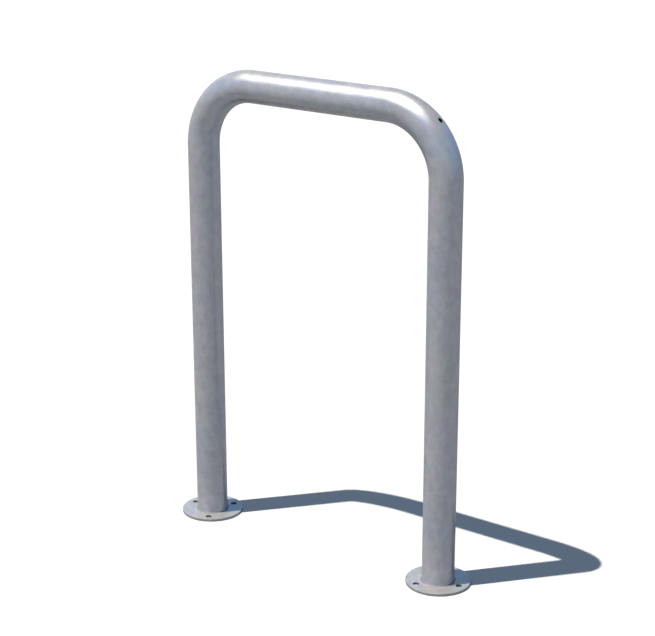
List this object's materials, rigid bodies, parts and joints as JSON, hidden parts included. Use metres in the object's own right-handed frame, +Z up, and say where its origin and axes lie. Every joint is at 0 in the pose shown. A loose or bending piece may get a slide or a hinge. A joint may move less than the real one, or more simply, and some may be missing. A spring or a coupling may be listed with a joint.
{
  "type": "hoop bike rack",
  "caption": "Upright hoop of bent round galvanised tube on round base flanges that bolt down to paving, for leaning and locking bicycles.",
  "frame": {"origin": "on the ground, midway between the centres of the two legs", "axes": "+Z up; +X along the hoop, towards the leg whose bend has the vent hole; Y across the hoop"},
  "size_m": [0.66, 0.12, 0.9],
  "materials": {
    "tube_zinc": "hot-dip galvanised steel tube, satin, with soft cloudy patches of cool and warm grey",
    "flange_zinc": "hot-dip galvanised steel plate, satin, light grey",
    "weld_zinc": "galvanised fillet weld, lightly rippled"
  },
  "bodies": {
    "root": {"hoop_tube": "tube_zinc", "left_base_flange": "flange_zinc", "left_foot_weld": "weld_zinc", "right_base_flange": "flange_zinc", "right_foot_weld": "weld_zinc"}
  },
  "joints": []
}
